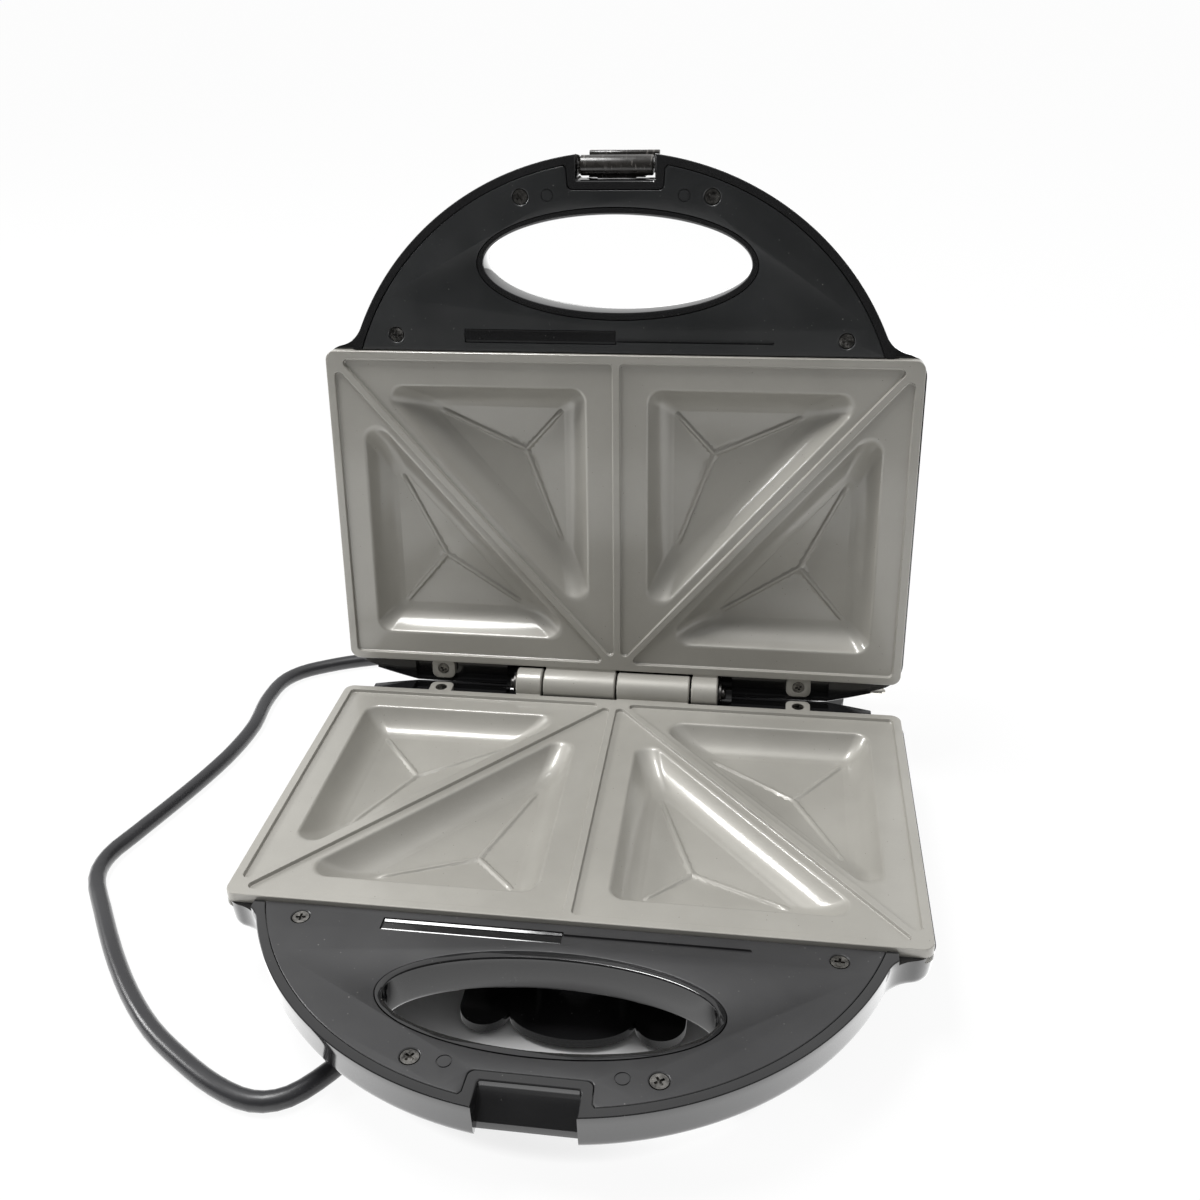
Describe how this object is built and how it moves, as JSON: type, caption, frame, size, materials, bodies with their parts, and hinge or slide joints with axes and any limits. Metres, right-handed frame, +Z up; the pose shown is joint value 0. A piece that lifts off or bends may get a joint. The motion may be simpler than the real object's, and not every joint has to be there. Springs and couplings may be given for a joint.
{
  "type": "sandwich toaster",
  "caption": "Electric sandwich toaster standing open: hinged shells with cast pocketed cooking plates, ring handle, latch and cord.",
  "frame": {"origin": "middle of the toaster's own outline on the table, measured without the cord and plug", "axes": "+X to the right seen from the handle side, +Y to the back where the hinge is, +Z up"},
  "size_m": [0.3006, 0.2896, 0.2459],
  "materials": {
    "housing": "glossy black moulding",
    "cover_lower": "fine matt black",
    "cover_upper": "fine matt black",
    "dark_screws": "blackened steel",
    "nonstick": "warm grey non-stick coating on cast aluminium",
    "element_sheath": "oxidised steel sheath",
    "steel_strip": "zinc-plated strip",
    "steel_screws": "zinc plated",
    "reflector_sheet": "bright rolled sheet",
    "ceramic": "ceramic body",
    "fuse_body": "glass-fibre sleeve",
    "nylon": "natural nylon",
    "brass_screws": "plain brass",
    "rubber": "matt black rubber",
    "pin_steel": "bright steel",
    "cord_pvc": "satin black PVC",
    "plug_pvc": "satin black PVC",
    "plug_metal": "nickel-plated brass",
    "red_lens": "clear red",
    "green_lens": "clear green",
    "lamp_glass": "clear glass with a neon glow tube",
    "latch_plastic": "worn glossy dark grey-brown"
  },
  "bodies": {
    "base": {"lower_shell": "housing", "lower_handle_cover": "cover_lower", "lower_cover_screws": "dark_screws", "lower_plate": "nonstick", "lower_plate_screws": "dark_screws", "lower_element": "element_sheath", "lower_element_bars": "steel_strip", "lower_bar_screws": "steel_screws", "lower_reflector": "reflector_sheet", "thermostat": "ceramic", "thermal_fuse": "fuse_body", "terminal_block": "nylon", "terminal_screws": "brass_screws", "cord_clamp": "nylon", "clamp_screws": "steel_screws", "rubber_feet": "rubber", "hinge_pin": "pin_steel", "pin_clips": "pin_steel", "cord_relief": "cord_pvc", "power_cord": "cord_pvc", "plug_body": "plug_pvc", "plug_pins": "plug_metal", "plug_earth_contacts": "plug_metal"},
    "lid": {"upper_shell": "housing", "upper_handle_cover": "cover_upper", "upper_cover_screws": "dark_screws", "upper_plate": "nonstick", "upper_plate_screws": "dark_screws", "upper_element": "element_sheath", "upper_element_bars": "steel_strip", "upper_bar_screws": "steel_screws", "upper_reflector": "reflector_sheet", "red_lens": "red_lens", "green_lens": "green_lens", "neon_lamps": "lamp_glass", "lamp_holder": "nylon", "latch_pin": "pin_steel"},
    "latch": {"latch": "latch_plastic"}
  },
  "joints": [
    {"name": "lid_hinge", "type": "hinge", "parent": "base", "child": "lid", "pos_m": [0, 0.08103, 0.037], "axis": [1, 0, 0], "range_deg": [0, 93.6]},
    {"name": "latch_hinge", "type": "hinge", "parent": "lid", "child": "latch", "pos_m": [0, 0.1025, 0.24126], "axis": [1, 0, 0], "range_deg": [0, 180]}
  ]
}
